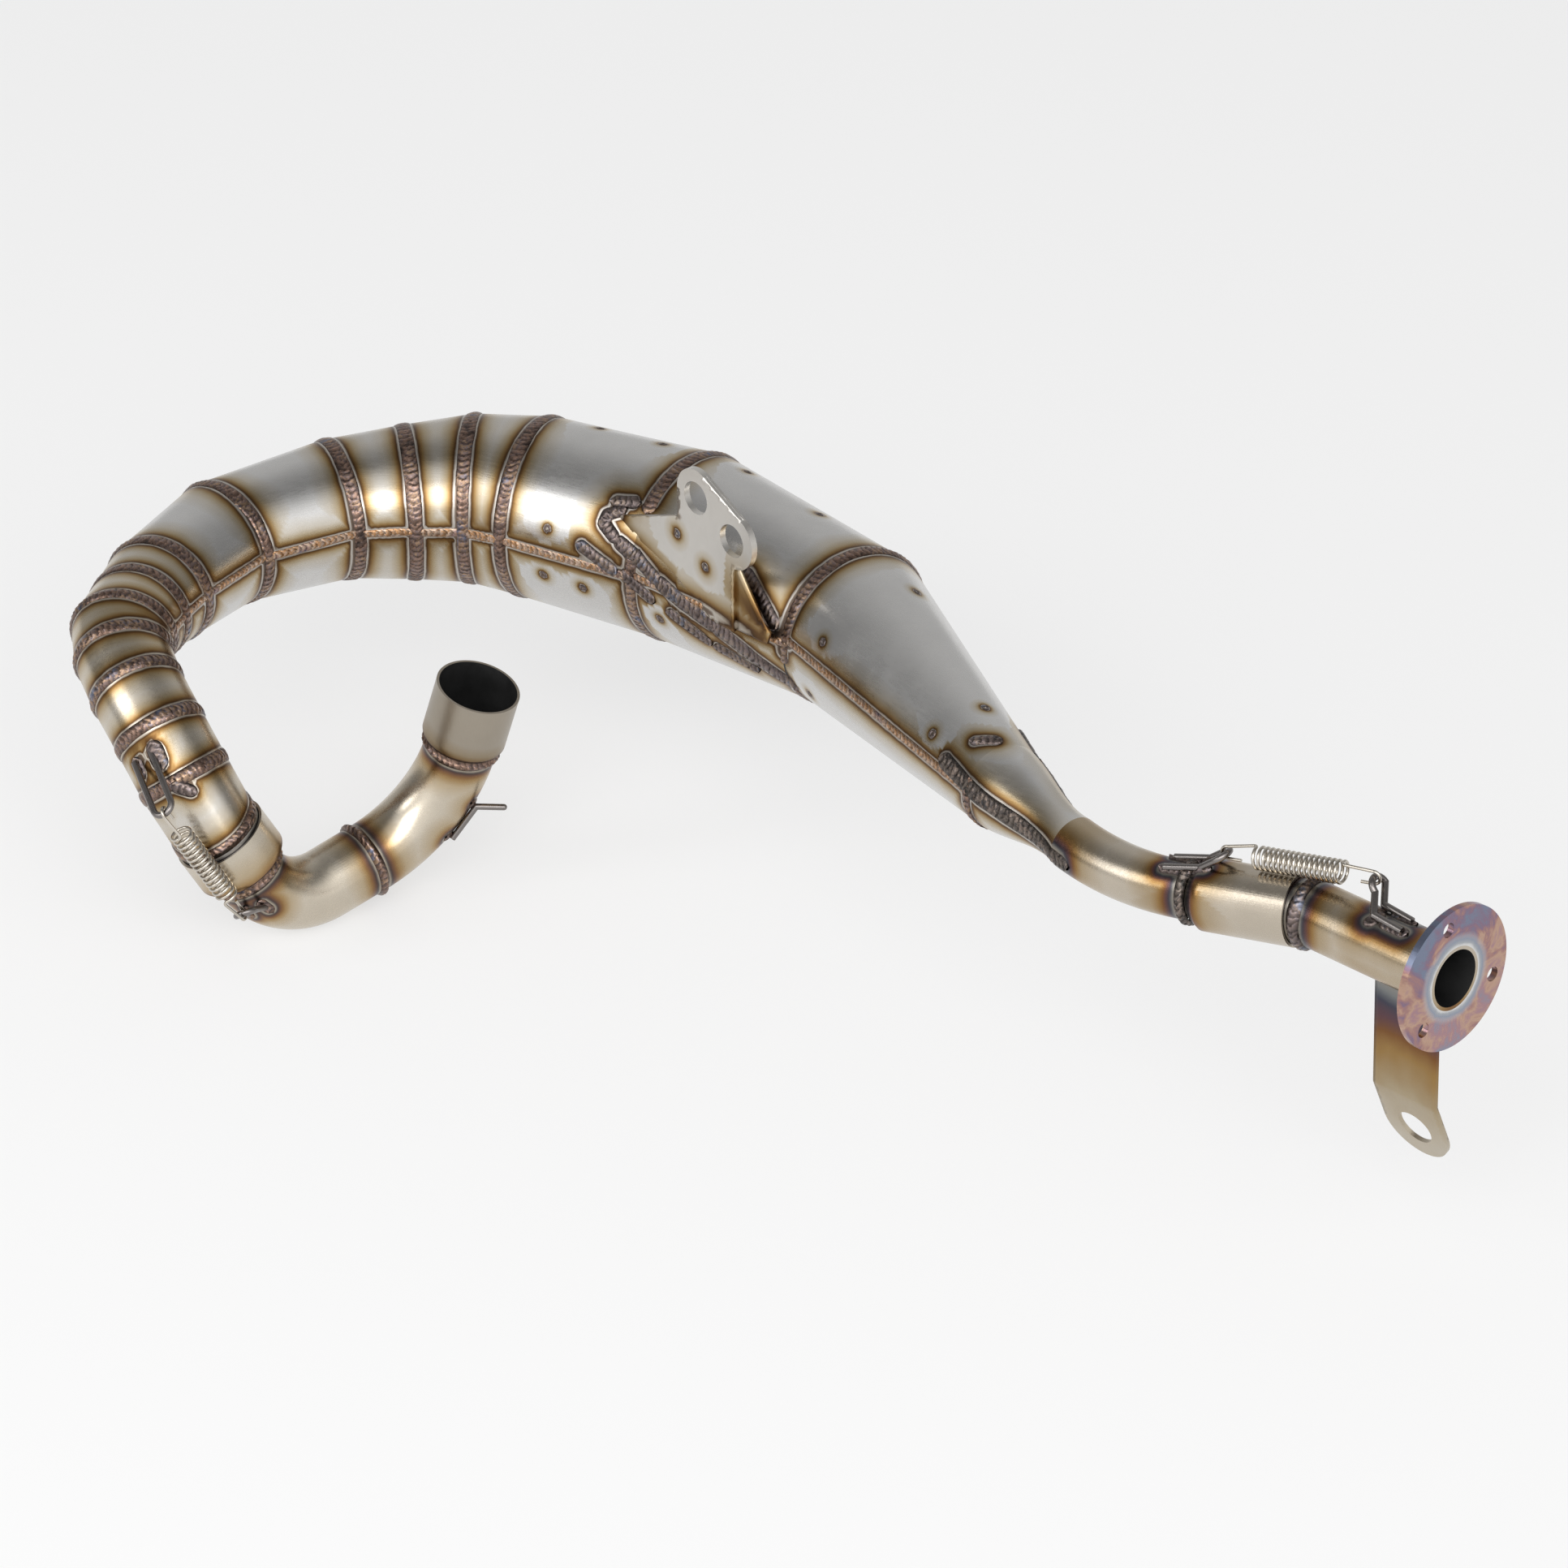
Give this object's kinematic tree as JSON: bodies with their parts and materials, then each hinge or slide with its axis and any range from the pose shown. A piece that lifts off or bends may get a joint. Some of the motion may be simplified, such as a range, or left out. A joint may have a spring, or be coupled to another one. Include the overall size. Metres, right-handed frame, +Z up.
{
  "type": "scooter racing exhaust",
  "caption": "Expansion-chamber exhaust of mitred rolled-steel cones with a bent manifold, a stinger and a flanged tail, held by springs at two slip joints.",
  "frame": {"origin": "centre of the inlet socket's mouth", "axes": "+X along the longest extent from the header bend to the tail flange, +Z up, square to the plane of the chamber's bend"},
  "size_m": [0.6164, 0.5087, 0.197],
  "materials": {
    "rolled_sheet": "rolled sheet with heat tint beside the welds",
    "manifold_steel": "brushed tube with straw tint",
    "tail_steel": "brushed tube with brown tint",
    "bracket_plate": "bright sheet",
    "hook_wire": "round wire",
    "spring_wire": "drawn wire, bright",
    "weld_metal": "rippled bead"
  },
  "bodies": {
    "chamber": {"header_spigot": "rolled_sheet", "header_a": "rolled_sheet", "header_b": "rolled_sheet", "header_c": "rolled_sheet", "header_d": "rolled_sheet", "header_e": "rolled_sheet", "diffuser_f": "rolled_sheet", "diffuser_g": "rolled_sheet", "diffuser_h": "rolled_sheet", "diffuser_i": "rolled_sheet", "diffuser_j": "rolled_sheet", "diffuser_k": "rolled_sheet", "diffuser_l": "rolled_sheet", "belly_m": "rolled_sheet", "belly_n": "rolled_sheet", "baffle_cone": "rolled_sheet", "chamber_weld_00": "weld_metal", "chamber_weld_01": "weld_metal", "chamber_weld_02": "weld_metal", "chamber_weld_03": "weld_metal", "chamber_weld_04": "weld_metal", "chamber_weld_05": "weld_metal", "chamber_weld_06": "weld_metal", "chamber_weld_07": "weld_metal", "chamber_weld_08": "weld_metal", "chamber_weld_09": "weld_metal", "chamber_weld_10": "weld_metal", "chamber_weld_11": "weld_metal", "chamber_weld_12": "weld_metal", "chamber_weld_13": "weld_metal", "chamber_weld_14": "weld_metal", "chamber_weld_15": "weld_metal", "stinger_hood": "rolled_sheet", "stinger_saddle": "rolled_sheet", "hood_welds": "weld_metal", "stinger_tube": "rolled_sheet", "stinger_slip_socket": "rolled_sheet", "stinger_weld": "weld_metal", "bracket_front_plate": "bracket_plate", "bracket_back_plate": "bracket_plate", "header_spring_hook": "hook_wire", "stinger_spring_hook": "hook_wire"},
    "manifold": {"manifold_bend_upper": "manifold_steel", "manifold_elbow": "manifold_steel", "manifold_slip_socket": "manifold_steel", "manifold_weld_inlet": "weld_metal", "manifold_weld_elbow": "weld_metal", "manifold_weld_slip": "weld_metal", "manifold_spring_hook": "hook_wire", "inlet_socket": "manifold_steel", "cylinder_spring_hook": "hook_wire"},
    "tail": {"tail_spigot": "tail_steel", "tail_tube": "tail_steel", "tail_weld": "weld_metal", "tail_flange": "tail_steel", "tail_bracket": "bracket_plate", "tail_spring_hook": "hook_wire"},
    "manifold_spring_body": {"manifold_spring": "spring_wire"},
    "tail_spring_body": {"tail_spring": "spring_wire"}
  },
  "joints": [
    {"name": "manifold_swivel", "type": "hinge", "parent": "chamber", "child": "manifold", "pos_m": [-0.11524, -0.05263, -0.04602], "axis": [-0.449, -0.1373, 0.8829], "range_deg": [-8, 8]},
    {"name": "tail_swivel", "type": "hinge", "parent": "chamber", "child": "tail", "pos_m": [0.35014, -0.2376, 0.03084], "axis": [0.8283, -0.5379, 0.1564], "range_deg": [-8, 8]},
    {"name": "manifold_spring_swing", "type": "hinge", "parent": "chamber", "child": "manifold_spring_body", "pos_m": [-0.13407, -0.0855, -0.0154], "axis": [-0.0313, -0.9851, -0.1691], "range_deg": [-4, 4]},
    {"name": "tail_spring_swing", "type": "hinge", "parent": "chamber", "child": "tail_spring_body", "pos_m": [0.32164, -0.21909, 0.04727], "axis": [-0.1312, 0.0852, 0.9877], "range_deg": [-4, 4]}
  ],
  "couplings": [
    {"joint": "manifold_spring_swing", "follows": "manifold_swivel", "ratio": 0.42121},
    {"joint": "tail_spring_swing", "follows": "tail_swivel", "ratio": -0.32164}
  ]
}
